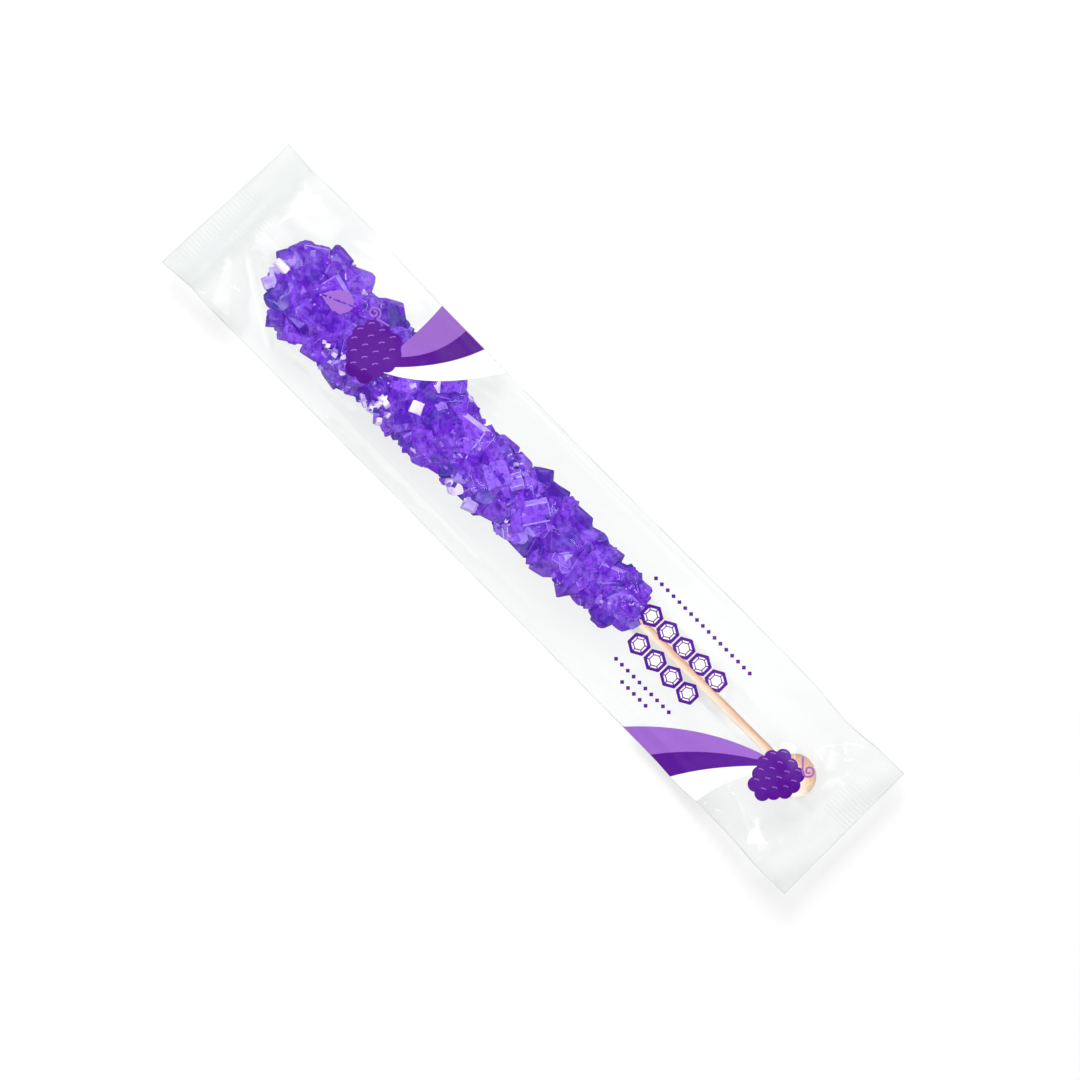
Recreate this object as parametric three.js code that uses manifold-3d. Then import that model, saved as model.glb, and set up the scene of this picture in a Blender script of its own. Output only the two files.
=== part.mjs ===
// A rock candy stick sealed in a clear flow-wrap pouch, lying on its back.
//
// The pouch is one closed solid: a film tube drawn over the candy, the bare stick and
// the ball on its end, crimped flat and ribbed at both ends, with the tube's seam
// folded flat along the back as a fin. What it holds shapes its top: the film hangs
// from the highest crystals and from the ball down to two creased sides.
//
// Millimetres. +X runs from the candy's tip to the ball, +Y across, +Z up. The origin
// is on the surface that the pouch lies on, under the middle of its bounding box.

import * as THREE from "three";
import Module from "manifold-3d";

const wasm = await Module();
wasm.setup();

// ---- driving dimensions ----

const POUCH_LENGTH = 207;
const SIDE_REACH = 19.6; // from the middle to a creased side, where nothing changes it
const FILM_EDGE = 0.35; // thickness of the solid along its creased sides
const CREASE_HEIGHT = 2.6; // of the sides, along the middle of the pouch
const CREASE_RISE_FROM = 62; // from here out, the sides climb to the crimps

const CRIMP_WIDTH = 9.5; // along X
const CRIMP_HEIGHT = 6.2; // of the crimps' inner edge, above the surface below
const CRIMP_DROOP = 0.9; // lower at the cut edge
const CRIMP_THICKNESS = 0.4;
const RIB_PITCH = 1;
const RIB_DEPTH = 0.24;
const RIB_FADE = 0.8; // length over which the ribs rise from the plain film
const CUT_SLANT = 1.2; // how much further out one corner of a cut edge is

const FIN_WIDTH = 9;
const FIN_ROOT = -2.5; // where the fin leaves the tube
const FIN_THICKNESS = 0.4;
const FLAT_REACH = 9.5; // of the film that lies flat under the candy
const LIFT_FROM = { tip: 78, ball: 86 }; // where the back leaves the surface below

const STICK_LENGTH = 178; // over the candy and the ball
const STICK_DIAMETER = 2.1;
const BALL_DIAMETER = 10.8;
const CANDY_LENGTH = 121.6;
const CANDY_TIP_WIDTH = 25.8;
const CANDY_END_WIDTH = 15.2;
const CANDY_TAPER = 0.85; // below 1, it narrows sooner
const CANDY_FLATNESS = 0.72; // its thickness as a share of its width
const TIP_ROUND = 0.13; // shares of the candy's length that its round ends take
const END_ROUND = 0.07;
const STICK_YAW = 0.0065; // how far the stick lies askew, as a slope

const KNOBS = 96; // crystals that stand out of the candy and hold the film up
const KNOB_HEIGHT = 2.9; // of the tallest, above the candy between them
const KNOB_SLOPE = 1.1; // how fast the film can fall away from one
const BETWEEN_KNOBS = 0.84; // the candy's thickness there, as a share of the whole
const PLEAT_WIDTH = 5.7; // of the folds that run in from the crimps
const PLEAT_HEIGHT = 0.45;
const PLEAT_REACH = 11;

const STATIONS = 80; // rings along the pouch
const TOP_COLUMNS = 22;
const BACK_COLUMNS = 6;
const FIN_STATIONS = 20;
const SWEEPS = 1500; // of the film's relaxation

// ---- places that follow from them ----

const HALF_LENGTH = POUCH_LENGTH / 2;
const CRIMP_START = HALF_LENGTH - CRIMP_WIDTH;
const CANDY_TIP = -87.2;
const CANDY_END = CANDY_TIP + CANDY_LENGTH;
const BALL_RADIUS = BALL_DIAMETER / 2;
const BALL_X = CANDY_TIP + STICK_LENGTH - BALL_RADIUS;
const WIDEST_X = -70;
const CANDY_AXIS_HEIGHT = FIN_THICKNESS + (CANDY_TIP_WIDTH / 2) * CANDY_FLATNESS;
const BALL_AXIS_HEIGHT = FIN_THICKNESS + BALL_RADIUS;
const STICK_PITCH = (BALL_AXIS_HEIGHT - CANDY_AXIS_HEIGHT) / (BALL_X - WIDEST_X);
const GOLDEN_TURN = Math.PI * (3 - Math.sqrt(5));

// Where a side bulges out or pulls in, each { at, by, over } a bell along X.
const SIDE_CHANGES = {
  left: [
    { at: -103, by: 0.8, over: 5 },
    { at: -80, by: 0.95, over: 16 },
    { at: -2, by: -0.25, over: 30 },
    { at: 85, by: -0.95, over: 8 },
  ],
  right: [
    { at: -103, by: 0.4, over: 4 },
    { at: -96, by: -0.6, over: 3 },
    { at: 67, by: 0.4, over: 5 },
    { at: 97, by: 0.75, over: 9 },
  ],
};

// ---- small helpers ----

const lerp = (a, b, t) => a + (b - a) * t;
const bell = (x, { at, by, over }) => by * Math.exp(-(((x - at) / over) ** 2));
const ease = (t) => THREE.MathUtils.smoothstep(t, 0, 1);

// A repeatable draw from 0 to 1.
function draws(seed) {
  let state = seed;
  return () => {
    state = (state * 16807) % 2147483647;
    return state / 2147483647;
  };
}

// ---- what the pouch holds ----

const stickY = (x) => 0.3 + STICK_YAW * x;
const stickZ = (x) => CANDY_AXIS_HEIGHT + STICK_PITCH * (x - WIDEST_X);

// Half the candy's width at x, round at both ends.
function candyReach(x) {
  const along = (x - CANDY_TIP) / CANDY_LENGTH;
  if (along <= 0 || along >= 1) return 0;
  const straight = lerp(CANDY_TIP_WIDTH, CANDY_END_WIDTH, along ** CANDY_TAPER) / 2;
  const tip = Math.max(0, 1 - along / TIP_ROUND);
  const end = Math.max(0, 1 - (1 - along) / END_ROUND);
  return straight * Math.sqrt(1 - Math.max(tip, end) ** 2);
}

// The height of an upright ellipse's top over y, or nothing beside it.
function roundTop(y, middleY, middleZ, reach, rise) {
  const across = (y - middleY) / reach;
  if (reach <= 0 || Math.abs(across) >= 1) return -Infinity;
  return middleZ + rise * Math.sqrt(1 - across ** 2);
}

function candyTop(x, y) {
  const reach = candyReach(x);
  const rise = reach * CANDY_FLATNESS * BETWEEN_KNOBS;
  return roundTop(y, stickY(x), stickZ(x), reach, rise);
}

function ballTop(x, y) {
  const slice = Math.sqrt(Math.max(0, BALL_RADIUS ** 2 - (x - BALL_X) ** 2));
  return roundTop(y, stickY(x), stickZ(BALL_X), slice, slice);
}

function stickTop(x, y) {
  const bare = x > CANDY_END && x < BALL_X ? STICK_DIAMETER / 2 : 0;
  return roundTop(y, stickY(x), stickZ(x), bare, bare);
}

// The crystals that stand highest: a spiral of points round the candy's upper half.
function knobPoints() {
  const draw = draws(7);
  return Array.from({ length: KNOBS }, (_, k) => {
    const x = lerp(CANDY_TIP + 4, CANDY_END - 2, (k + draw()) / KNOBS);
    const y = stickY(x) + 0.8 * candyReach(x) * Math.sin(GOLDEN_TURN * k);
    return { x, y, z: candyTop(x, y) + KNOB_HEIGHT * lerp(0.2, 1, draw()) };
  });
}

function contentsTop(x, y, knobs) {
  const standing = knobs.map((k) => k.z - KNOB_SLOPE * Math.hypot(x - k.x, y - k.y));
  return Math.max(candyTop(x, y), ballTop(x, y), stickTop(x, y), ...standing);
}

// ---- the film ----

function sideReach(side, x) {
  const changes = SIDE_CHANGES[side].map((change) => bell(x, change));
  return SIDE_REACH + changes.reduce((sum, change) => sum + change, 0);
}

// The height of the crimps' middle plane.
function crimpZ(x) {
  const out = Math.max(0, Math.abs(x) - CRIMP_START) / CRIMP_WIDTH;
  return CRIMP_HEIGHT - CRIMP_DROOP * out;
}

function creaseZ(x) {
  const out = (Math.abs(x) - CREASE_RISE_FROM) / (CRIMP_START - CREASE_RISE_FROM);
  return lerp(CREASE_HEIGHT, CRIMP_HEIGHT, ease(out));
}

// Shallow folds that run in from a crimp and fade out.
function pleat(x, y) {
  const inwards = (CRIMP_START - Math.abs(x)) / PLEAT_REACH;
  if (inwards >= 1) return 0;
  const wave = Math.cos((2 * Math.PI * y) / PLEAT_WIDTH);
  return PLEAT_HEIGHT * wave * Math.sin(Math.PI * Math.min(inwards, 1));
}

// The back: flat under the candy, rising to the creased sides and to the crimps.
function backZ(x, y, reach) {
  const out = (Math.abs(y) - FLAT_REACH) / (reach - FLAT_REACH);
  const lying = lerp(FIN_THICKNESS, creaseZ(x) - FILM_EDGE / 2, ease(out));
  const from = x < 0 ? LIFT_FROM.tip : LIFT_FROM.ball;
  const lift = ease((Math.abs(x) - from) / (CRIMP_START - from));
  return lerp(lying, CRIMP_HEIGHT - FILM_EDGE / 2, lift);
}

// The points of every station's top row, with the film hung over what it holds: each
// point settles to the mean of its neighbours, but never below the contents.
function drapedTop() {
  const knobs = knobPoints();
  const rows = [];
  for (let i = 0; i <= STATIONS; i++) {
    const x = lerp(-CRIMP_START, CRIMP_START, i / STATIONS);
    const [right, left] = [-sideReach("right", x), sideReach("left", x)];
    rows.push(
      Array.from({ length: TOP_COLUMNS + 1 }, (_, j) => {
        const y = lerp(right, left, j / TOP_COLUMNS);
        const rim = creaseZ(x) + FILM_EDGE / 2;
        return { x, y, z: rim, least: Math.max(rim, contentsTop(x, y, knobs)) };
      }),
    );
  }
  const lengthwise = ((2 * SIDE_REACH) / TOP_COLUMNS / ((2 * CRIMP_START) / STATIONS)) ** 2;
  for (let sweep = 0; sweep < SWEEPS; sweep++)
    for (let i = 1; i < STATIONS; i++)
      for (let j = 1; j < TOP_COLUMNS; j++) {
        const across = rows[i][j - 1].z + rows[i][j + 1].z;
        const along = rows[i - 1][j].z + rows[i + 1][j].z;
        const settled = (across + lengthwise * along) / (2 + 2 * lengthwise);
        rows[i][j].z = Math.max(rows[i][j].least, settled);
      }
  return rows.map((row, i) =>
    row.map(({ x, y, z }, j) => {
      const inside = j > 0 && j < TOP_COLUMNS && i > 0 && i < STATIONS;
      return [x, y, inside ? Math.max(z + pleat(x, y), creaseZ(x)) : z];
    }),
  );
}

// ---- solids ----

// A closed solid through a row of rings across X, each with the same number of points.
function loft(rings) {
  const count = rings[0].length;
  const faces = [];
  for (let i = 0; i + 1 < rings.length; i++)
    for (let j = 0; j < count; j++) {
      const [a, b] = [i * count + j, i * count + ((j + 1) % count)];
      faces.push([a, b, b + count], [a, b + count, a + count]);
    }
  const cap = (ring) => {
    const outline = ring.map(([, y, z]) => new THREE.Vector2(y, z));
    return THREE.ShapeUtils.triangulateShape(outline, []);
  };
  const last = (rings.length - 1) * count;
  cap(rings[0]).forEach(([a, b, c]) => faces.push([a, c, b]));
  cap(rings.at(-1)).forEach(([a, b, c]) => faces.push([last + a, last + b, last + c]));
  return new wasm.Manifold(
    new wasm.Mesh({
      numProp: 3,
      vertProperties: new Float32Array(rings.flat(2)),
      triVerts: new Uint32Array(faces.flat()),
    }),
  );
}

// The filled tube between the two crimps.
function tubeSolid() {
  return loft(
    drapedTop().map((top) => {
      const x = top[0][0];
      const [right, left] = [top[0][1], top.at(-1)[1]];
      const back = Array.from({ length: BACK_COLUMNS + 1 }, (_, j) => {
        const y = lerp(left, right, j / BACK_COLUMNS);
        return [x, y, backZ(x, y, Math.abs(j < BACK_COLUMNS / 2 ? left : right))];
      });
      return [...top, ...back].reverse();
    }),
  );
}

// One crimp: a flat band whose ribs run along X, cut a little askew at its end.
function crimpSolid(end) {
  const ribs = Math.round((2 * SIDE_REACH) / RIB_PITCH);
  const across = Array.from({ length: 2 * ribs + 1 }, (_, k) => k / (2 * ribs));
  const overlap = 0.4; // into the tube, so that the two join
  const steps = [-overlap, RIB_FADE, CRIMP_WIDTH];
  const rings = steps.map((step) => {
    const point = (share, k, face) => {
      const x = end * (CRIMP_START + step);
      const inset = step < 0 ? overlap / 2 : 0;
      const [right, left] = [inset - sideReach("right", x), sideReach("left", x) - inset];
      const slant = step === CRIMP_WIDTH ? CUT_SLANT * ease(share) : 0;
      const rib = step < 0 ? 0 : (k % 2 ? RIB_DEPTH : -RIB_DEPTH) / 2;
      const half = (step < 0 ? FILM_EDGE : CRIMP_THICKNESS) / 2;
      const z = crimpZ(x) + rib + face * half;
      return [end < 0 ? x + slant : x - slant / 4, lerp(right, left, share), z];
    };
    const top = across.map((share, k) => point(share, k, 1));
    const under = across.map((share, k) => point(share, k, -1)).reverse();
    return [...top, ...under].reverse();
  });
  return loft(end < 0 ? rings.reverse() : rings);
}

// The tube's seam, folded flat against the back from crimp to crimp.
function finSolid() {
  const bury = 0.15; // into the tube, so that the two join
  const sides = [FIN_ROOT, FIN_ROOT + FIN_WIDTH];
  const rings = Array.from({ length: FIN_STATIONS + 1 }, (_, i) => {
    const x = lerp(-CRIMP_START, CRIMP_START, i / FIN_STATIONS);
    const film = backZ(x, 0, SIDE_REACH);
    return [
      [x, sides[0], film - FIN_THICKNESS],
      [x, sides[1], film - FIN_THICKNESS],
      [x, sides[1], film + bury],
      [x, sides[0], film + bury],
    ];
  });
  return loft(rings);
}

function pouchGeometry() {
  const solid = [crimpSolid(-1), crimpSolid(1), finSolid()].reduce(
    (sum, piece) => sum.add(piece),
    tubeSolid(),
  );
  const { vertProperties, triVerts } = solid.getMesh();
  return new THREE.BufferGeometry()
    .setAttribute("position", new THREE.BufferAttribute(vertProperties, 3))
    .setIndex(new THREE.BufferAttribute(triVerts, 1));
}

// ---- the object ----

const clearFilm = new THREE.MeshStandardMaterial({
  color: 0xf1f4f4,
  roughness: 0.12,
  metalness: 0,
  transparent: true,
  opacity: 0.3,
});

const pouch = new THREE.Mesh(pouchGeometry(), clearFilm);
pouch.name = "candy_pouch";
pouch.geometry.computeBoundingBox();
const middle = pouch.geometry.boundingBox.getCenter(new THREE.Vector3());
pouch.position.set(-middle.x, -middle.y, -pouch.geometry.boundingBox.min.z);

const rockCandyStick = new THREE.Group();
rockCandyStick.name = "rock_candy_stick";
rockCandyStick.add(pouch);

export default rockCandyStick;
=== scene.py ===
import math
import random
from itertools import product

import bmesh
import bpy
import numpy as np
from mathutils import Euler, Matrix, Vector
from mathutils.bvhtree import BVHTree


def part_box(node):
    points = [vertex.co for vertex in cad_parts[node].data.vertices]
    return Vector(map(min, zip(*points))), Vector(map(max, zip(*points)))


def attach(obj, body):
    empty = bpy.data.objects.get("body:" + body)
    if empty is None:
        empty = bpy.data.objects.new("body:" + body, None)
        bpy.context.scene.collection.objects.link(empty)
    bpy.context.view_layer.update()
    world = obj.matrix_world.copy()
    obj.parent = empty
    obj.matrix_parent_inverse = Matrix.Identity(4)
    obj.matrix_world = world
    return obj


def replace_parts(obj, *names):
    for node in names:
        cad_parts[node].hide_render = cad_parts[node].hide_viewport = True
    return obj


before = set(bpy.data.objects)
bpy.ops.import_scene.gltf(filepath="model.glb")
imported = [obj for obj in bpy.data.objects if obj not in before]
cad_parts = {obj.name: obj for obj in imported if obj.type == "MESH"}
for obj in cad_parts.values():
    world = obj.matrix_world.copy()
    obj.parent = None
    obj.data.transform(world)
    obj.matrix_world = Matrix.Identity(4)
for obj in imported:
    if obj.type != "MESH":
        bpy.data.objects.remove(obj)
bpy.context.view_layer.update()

# Lengths are in millimetres and are turned into metres where a mesh is made. +X runs from
# the candy's tip to the ball, +Y across the pouch and +Z up out of its printed front.
MM = 0.001
NODE = "candy_pouch"

# ---- the film ----
CRIMP_START = 94.0  # where the crimps begin, from the middle
CUT_SLANT = {"tip": 1.2, "ball": 0.3}  # how far in the left corner of a cut end is
SAMPLE_INSET = 0.15  # how far inside the solid's edges it is sampled
SAMPLE_STEPS = (0, 0.2, 0.5, 1.0)  # further inwards, where a ray misses the solid
SLICE = 2.6  # between readings of the pouch's sides
FILM_COLUMNS = 160
TUBE_STATIONS = 205
CRIMP_STATIONS = 7
SMOOTH_ACROSS = 26
SMOOTH_ALONG = 4
RIB_PITCH = 1.0
RIB_DEPTH = 0.26
RIB_FADE = 2.2  # over which the ribs grow to their full depth
SIDE_FADE = 1.6  # from a creased side inwards, wrinkles grow to their full height
EDGE_LINE = 0.35  # width of the thick-looking line along the creases and cuts
# How far the film is gathered towards each crimp, by the distance from the middle.
GATHERED = {
    "tip": ((68.0, 0.0), (84.0, 0.36), (91.6, 0.42), (94.0, 0.95), (97.4, 1.0), (99.6, 0.65)),
    "ball": ((68.0, 0.0), (84.0, 0.12), (90.0, 0.14), (94.0, 0.34), (103.5, 0.40)),
}
# Patches of painted glare, where the film is made clearer than round them: from start to end,
# and half the width at each of them.
GLARE_PATCHES = [
    ((-93.6, -7.6), (-86.2, -17.8), (0.5, 1.7)),
    ((-91.9, -4.0), (-70.5, -17.2), (0.45, 0.6)),
    ((-92.4, 11.2), (-78.6, 13.6), (2.6, 3.2)),
    ((-93.6, 2.8), (-85.0, 2.8), (3.2, 2.8)),
    ((87.4, 11.9), (90.6, 7.6), (0.6, 1.0)),
    ((93.4, 8.4), (91.9, 3.0), (0.9, 0.6)),
    ((86.2, 10.4), (84.9, 8.2), (0.4, 0.6)),
    ((79.6, -12.1), (88.4, -16.1), (0.3, 0.4)),
    ((88.6, -14.0), (92.9, -16.6), (0.8, 1.1)),
]
GLARE_MOST = 0.8  # how clear the film gets there
GLARE_FADE = 0.15  # over which that grows from each end, as a share of the length
GLARE_REACH = 1.5  # half widths out, where it has faded
GLARE_LOSS = 1.1  # of the gathers, under the painted glare
SHADE_BESIDE_CANDY = {"middle": (-67.0, -15.6), "spread": (13.0, 3.0), "share": 0.5}  # painted shade in the film's grey, beside the candy
# Where the ribs' painted shade shows clearly: from how far out, and across the crimp at each end.
SHADED_RIBS = {
    "tip": {"from": 98.4, "across": (-17.0, 7.0)},
    "ball": {"from": 94.0, "across": (-0.5, 10.5)},
}
RIBS_ELSEWHERE = 0.2  # how clearly the ribs show in other places
RIBS_GROW = 1.2  # over which the clear ones do so, outwards
RIBS_SIDE = 1.5  # over which they fade at their sides
VALLEY_SHADE = 0.35  # how much painted shade lies between two ribs, on the film's grey
# Where the tip's ribs run on into the tube and break up its painted glare: from how far out
# inwards, and across.
RUN_ON = {"from": (93.0, 87.0), "across": (-1.5, 6.8), "share": 0.65}
# Where the film is steep enough to give a shadow, on its shadow side near the crimps and at the
# ball's cut: from how far out, and over how much more that grows.
STEEP = {"ball": (48.0, 8.0), "tip": (80.0, 6.0), "side": (12.6, 4.0), "cut": (97.5, 3.0)}
FIN_ROOT = -2.6
FIN_TIP = 6.3
FIN_CLEAR_Y = -6.6  # beside the fin, where the back is read
FIN_COLUMNS = 10
FIN_STATIONS = 150
FIN_OVERLAP = 0.5  # of the crimps
FIN_TOP = 0.30  # over the solid's back
FIN_BACK = 0.005  # over it too
FIN_WAVE = 0.03  # how far its top goes up and down
FIN_WAVE_PACE = 1.7  # radians of that wave to a millimetre
FILM_SHARP = math.radians(50)

# Folds in the film, each a ridge: its start, its end, its height and its width.
FOLDS = [
    ((-94.2, -6.4), (-83.0, -18.6), 0.75, 1.5),
    ((-93.0, -2.8), (-69.0, -18.4), 0.5, 0.9),
    ((-91.0, -2.3), (-79.0, -9.6), 0.4, 0.8),
    ((-94.4, -9.5), (-90.0, -19.0), 0.5, 1.0),
    ((-92.5, 6.0), (-80.0, 15.6), 0.55, 1.7),
    ((-94.0, 11.5), (-85.0, 17.6), 0.4, 1.0),
    ((-94.4, 6.4), (-86.4, 6.6), 0.16, 0.35),
    ((-94.4, 5.1), (-85.6, 5.3), 0.18, 0.35),
    ((-94.4, 3.8), (-86.8, 4.0), 0.18, 0.35),
    ((-94.4, 2.5), (-86.2, 2.5), 0.18, 0.35),
    ((-94.4, 1.2), (-87.0, 1.1), 0.16, 0.35),
    ((-94.4, -0.1), (-86.0, -0.3), 0.2, 0.4),
    ((94.4, 4.5), (86.5, 12.5), 0.55, 1.0),
    ((94.0, 8.2), (83.0, 16.6), 0.4, 0.9),
    ((94.4, 1.6), (89.0, 5.6), 0.45, 0.7),
    ((93.6, -16.2), (77.0, -11.6), 0.55, 0.8),
    ((94.4, -4.2), (87.0, -9.0), 0.4, 0.8),
    ((94.4, -10.0), (88.0, -18.6), 0.35, 1.0),
    ((66.0, 9.5), (79.0, 16.0), 0.35, 1.2),
    ((-26.0, 17.2), (57.0, 17.0), 0.3, 0.8),
    ((-66.0, -15.0), (22.0, -15.4), 0.3, 0.9),
    ((-58.0, 17.8), (-30.0, 16.6), 0.25, 0.8),
    ((30.0, -14.0), (70.0, -16.4), 0.25, 1.0),
]
RIPPLES = 26  # faint waves all over the film
RIPPLE_LENGTHS = (3.0, 11.0)
RIPPLE_HEIGHT = 0.014
RIPPLE_SEED = 3
WRINKLES_STOP = 1.0  # before the crimps, where folds and ripples start to fade
WRINKLES_FADE = 1.5  # over which they do
FILM_LEAST = 0.1  # kept between the top and the back

# ---- what is in it ----
STICK_SLOPE = 0.0065
STICK_Y = 0.18  # at the middle
STICK_RADIUS = 1.08
STICK_START = 18.0
CANDY_TIP = -85.4
CANDY_LENGTH = 120.2
CANDY_TIP_WIDTH = 25.8
CANDY_END_WIDTH = 14.6
CANDY_TAPER = 0.85
CANDY_FLATNESS = 0.72
TIP_ROUND = 0.13
END_ROUND = 0.07
AXIS_HEIGHT_AT_WIDEST = 9.69
WIDEST_X = -70.0
STICK_PITCH = -0.025
BALL_X = 85.4
BALL_RADIUS = 5.25
BALL_HEIGHT = 5.6
# Where the candy is thicker or thinner, and where it is off the stick's line: at which x, by
# how much and over what length.
CANDY_SWELLS = [
    (-65.5, -1.1, 3.0),
    (-56.0, 0.5, 4.0),
    (-36.0, 0.5, 12.0),
    (-23.4, -1.5, 2.4),
    (6.0, 0.7, 7.0),
]
CANDY_BENDS = [(-24.0, -0.75, 14.0), (3.0, 0.85, 6.0), (28.0, 0.4, 10.0)]
CRYSTAL_SEED = 11
CRYSTAL_FORMS = 12
CRYSTAL_WIDTH = (0.34, 0.46)  # half of it, for a crystal 1 long
CRYSTAL_HEIGHT = (0.26, 0.40)
CRYSTAL_CUTS = 4  # kinds of edges and corners that are cut off
CUT_SKIPPED = 0.3  # of those cuts
CUT_REACH = (0.70, 0.92)
CRYSTAL_LEAN = 0.23  # sugar's crystals lean by 13 degrees
CRYSTAL_RIM = 0.025  # width of the bevel round each face, for a crystal 1 long
GOLDEN_TURN = math.pi * (3 - math.sqrt(5))
TIP_CROWDING = 1.12  # over 1, more of the crystals are near the tip
SIZE_ALONG = (1.08, 0.85)  # what their length is multiplied by, at the tip and at the end
DARK_SHARE = 0.17  # of the crystals are deep blue
BRIGHT_SHARE = 0.06  # of them are lavender
DARK_TONES = (0, 0.12)
BRIGHT_TONES = (0.84, 0.96)
VIOLET_TONES = (0.15, 0.84)
GLINT_RIMS = 0.32  # of the crystals have painted glints on their narrow rims
RIM_GLINT = 0.7  # how much lighter those painted glints are
FACET_TONES = 0.07  # how far a facet's tone is from its crystal's, at most
SLIVER = 0.09  # a rim is narrower than this share of its length
PROP_LONG = (4.0, 7.0)  # of the crystals that hold the film up
PEAK_STATIONS = 3  # a peak is the highest place within so many stations and columns
PEAK_COLUMNS = 9
PEAK_SPAN = 0.92  # of the candy's reach, beyond which a peak needs no crystal
CORE_SEED = 5
CORE_RINGS = 90
CORE_AROUND = 40
CORE_INSET = 1.5  # from the candy's ends
CORE_ROUGH = (0.86, 1.04)
CORE_SHARE = 0.78  # of the candy's reach, filled solid
FILM_GAP = 0.15  # kept between the candy and the film
# The crystals all over the candy: how many, their length, and how far each stands out of it.
CRYSTALS = [
    (170, (7.6, 11.5), (-0.5, 0.8)),
    (190, (5.0, 7.4), (-0.8, 0.7)),
    (150, (2.8, 4.2), (-0.7, 0.4)),
    (110, (1.2, 2.0), (-0.8, 0.2)),
]
# The crystals that stand out: the form, the place, the size as it lies, its turn round Z and
# its two tilts in degrees, its tone from deep blue (0) by violet to near white (1), and
# whether it lies bare (1), with no other crystal over it. The near-white ones are painted
# glints: broad white facets, and a cluster of small sparkles.
SHOWPIECES = [
    (0, (-82.9, -0.8), (4.4, 2.2, 2.6), 2, (8, -10), 1.0, 1),
    (1, (-82.4, -5.4), (3.4, 3.2, 2.6), -24, (-6, -12), 0.93, 1),
    (2, (-78.0, -6.2), (6.6, 5.8, 4.0), -8, (4, -5), 0.0, 1),
    (3, (-75.9, 1.9), (3.0, 4.2, 3.0), 12, (12, -6), 0.05, 1),
    (6, (-78.9, 5.0), (8.6, 7.6, 4.8), 34, (8, -10), 0.7, 0),
    (11, (-69.4, 2.6), (10.5, 8.0, 4.6), -14, (2, 3), 0.62, 0),
    (5, (-74.6, 9.6), (6.2, 5.0, 4.4), 8, (16, -4), 0.32, 0),
    (4, (-68.6, 9.2), (8.8, 5.2, 4.2), 26, (12, 3), 0.66, 0),
    (6, (-57.6, 10.2), (5.0, 4.4, 3.6), 30, (14, 2), 0.45, 0),
    (7, (-70.0, -8.2), (9.0, 7.0, 4.4), 34, (-3, 9), 0.7, 0),
    (8, (-63.8, -9.0), (5.4, 4.6, 3.6), 12, (-10, 12), 0.74, 0),
    (10, (-75.4, -10.4), (4.4, 3.6, 3.2), 40, (-20, 0), 0.2, 0),
    (8, (-55.9, -7.9), (2.4, 1.6, 3.4), -35, (-6, 6), 0.98, 0),
    (9, (-58.9, -8.6), (1.8, 0.8, 3.2), 10, (-8, 6), 0.96, 0),
    (2, (-62.2, -6.4), (1.2, 1.0, 3.0), 30, (-8, 6), 0.97, 0),
    (7, (-52.6, -10.4), (3.4, 1.3, 3.0), 22, (-10, 4), 0.1, 0),
    (9, (-47.7, -9.2), (4.0, 0.9, 3.2), -28, (-8, 4), 0.96, 0),
    (10, (-44.2, -6.4), (1.5, 3.6, 3.8), -6, (-6, 6), 1.0, 0),
    (1, (-44.0, -6.0), (3.8, 1.4, 3.8), -8, (-6, 6), 1.0, 1),
    (3, (-44.6, -9.0), (2.2, 2.0, 3.4), 20, (-8, 6), 0.98, 0),
    (0, (-41.4, -10.2), (1.4, 1.5, 3.0), 40, (-8, 6), 1.0, 0),
    (5, (-40.9, -7.7), (1.2, 1.2, 3.0), 10, (-8, 6), 1.0, 0),
    (9, (-37.6, -1.6), (3.2, 3.0, 2.2), 24, (2, 4), 1.0, 1),
    (11, (-24.6, 2.0), (11.0, 9.0, 5.0), 8, (3, -4), 0.76, 1),
    (2, (-35.2, 9.0), (5.2, 4.0, 3.6), 44, (16, 4), 0.4, 0),
    (3, (-15.2, 5.0), (5.8, 5.0, 3.6), -14, (10, 4), 0.05, 0),
    (0, (-18.4, -8.2), (4.4, 3.2, 2.8), -30, (-14, 4), 0.97, 0),
    (1, (-12.6, -8.6), (3.6, 2.8, 2.6), 20, (-16, 4), 0.93, 0),
    (2, (-12.0, -4.8), (5.0, 4.4, 3.4), 18, (-8, 8), 0.02, 0),
    (1, (-9.2, 3.0), (4.4, 3.4, 2.8), -28, (6, 6), 0.87, 0),
    (5, (-5.2, 8.0), (4.8, 4.2, 3.6), 42, (14, 4), 0.1, 0),
    (5, (-0.8, 0.8), (8.4, 7.0, 4.4), -34, (-3, 6), 0.7, 1),
    (9, (0.6, 7.8), (4.0, 3.6, 3.2), 14, (14, -4), 0.06, 0),
    (7, (7.6, 7.6), (6.0, 3.6, 3.4), 4, (16, 4), 0.16, 0),
    (4, (8.4, 2.2), (5.6, 5.2, 3.6), 16, (4, -6), 0.04, 0),
    (6, (6.8, -6.0), (4.6, 3.8, 3.2), 38, (-12, 4), 0.6, 0),
    (9, (22.0, 2.4), (7.6, 6.4, 4.2), 24, (6, 6), 0.56, 0),
    (8, (29.4, 5.6), (4.6, 4.0, 3.4), 6, (10, 6), 0.7, 0),
]
SHOWPIECE_ROOM = 0.6  # kept free of other crystals around each
BARE_DEPTH = 0.2  # what lies over a bare one and reaches this near to its top is taken away
# Grains of sugar on the crystals: how many, where along the candy, how far across it as a share
# of its reach, the share of them under it, their length and the share of them that is light.
GRAIN_SEED = 4
GRAINS = [
    (260, (-84, 33), (-0.95, 0.95), 0.4, (0.7, 1.7), 0.10),
    (60, (-64, -38), (-0.98, -0.35), 0.0, (0.6, 1.5), 0.4),
]
LIGHT_GRAIN = (0.87, 0.97)
WOOD_AROUND = 40
WOOD_SHARP = math.radians(60)
STICK_RINGS = 60
STICK_IN_BALL = 0.6
BALL_RINGS = 36
BALL_FROM = math.radians(14)  # the collar at the stick
BALL_TO = math.radians(172)  # the small flat at the far end
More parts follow.
